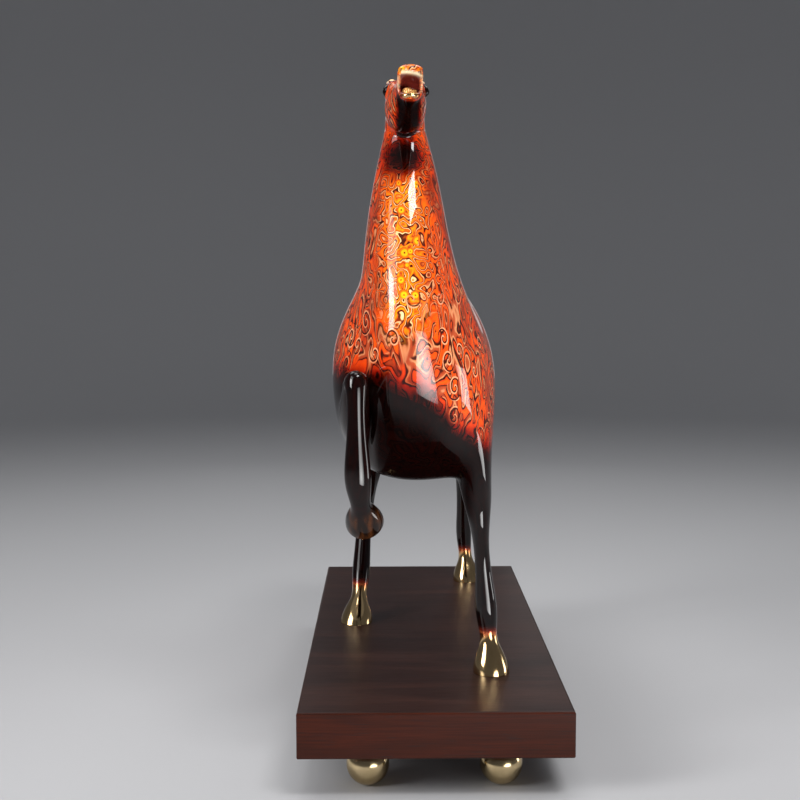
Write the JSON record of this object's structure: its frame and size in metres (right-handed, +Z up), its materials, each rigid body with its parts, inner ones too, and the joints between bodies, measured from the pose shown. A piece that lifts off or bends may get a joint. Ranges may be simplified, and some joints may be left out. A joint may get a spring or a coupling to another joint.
{
  "type": "copper horse figurine",
  "caption": "Lacquered copper figurine of a walking horse with an arched neck, open mouth and lifted foreleg, on a hardwood plinth with brass ball feet.",
  "frame": {"origin": "on the ground under the middle of the plinth", "axes": "+Z up, the horse faces -Y and its left side is toward +X"},
  "size_m": [0.15, 0.35, 0.3953],
  "materials": {
    "lacquered_copper": "high gloss mottled lacquer over copper, orange and gold above, black below, with polished gold hooves",
    "walnut": "satin dark walnut",
    "brass": "polished"
  },
  "bodies": {
    "root": {"horse": "lacquered_copper", "plinth": "walnut", "foot_front_left": "brass", "foot_front_right": "brass", "foot_back_left": "brass", "foot_back_right": "brass"}
  },
  "joints": []
}
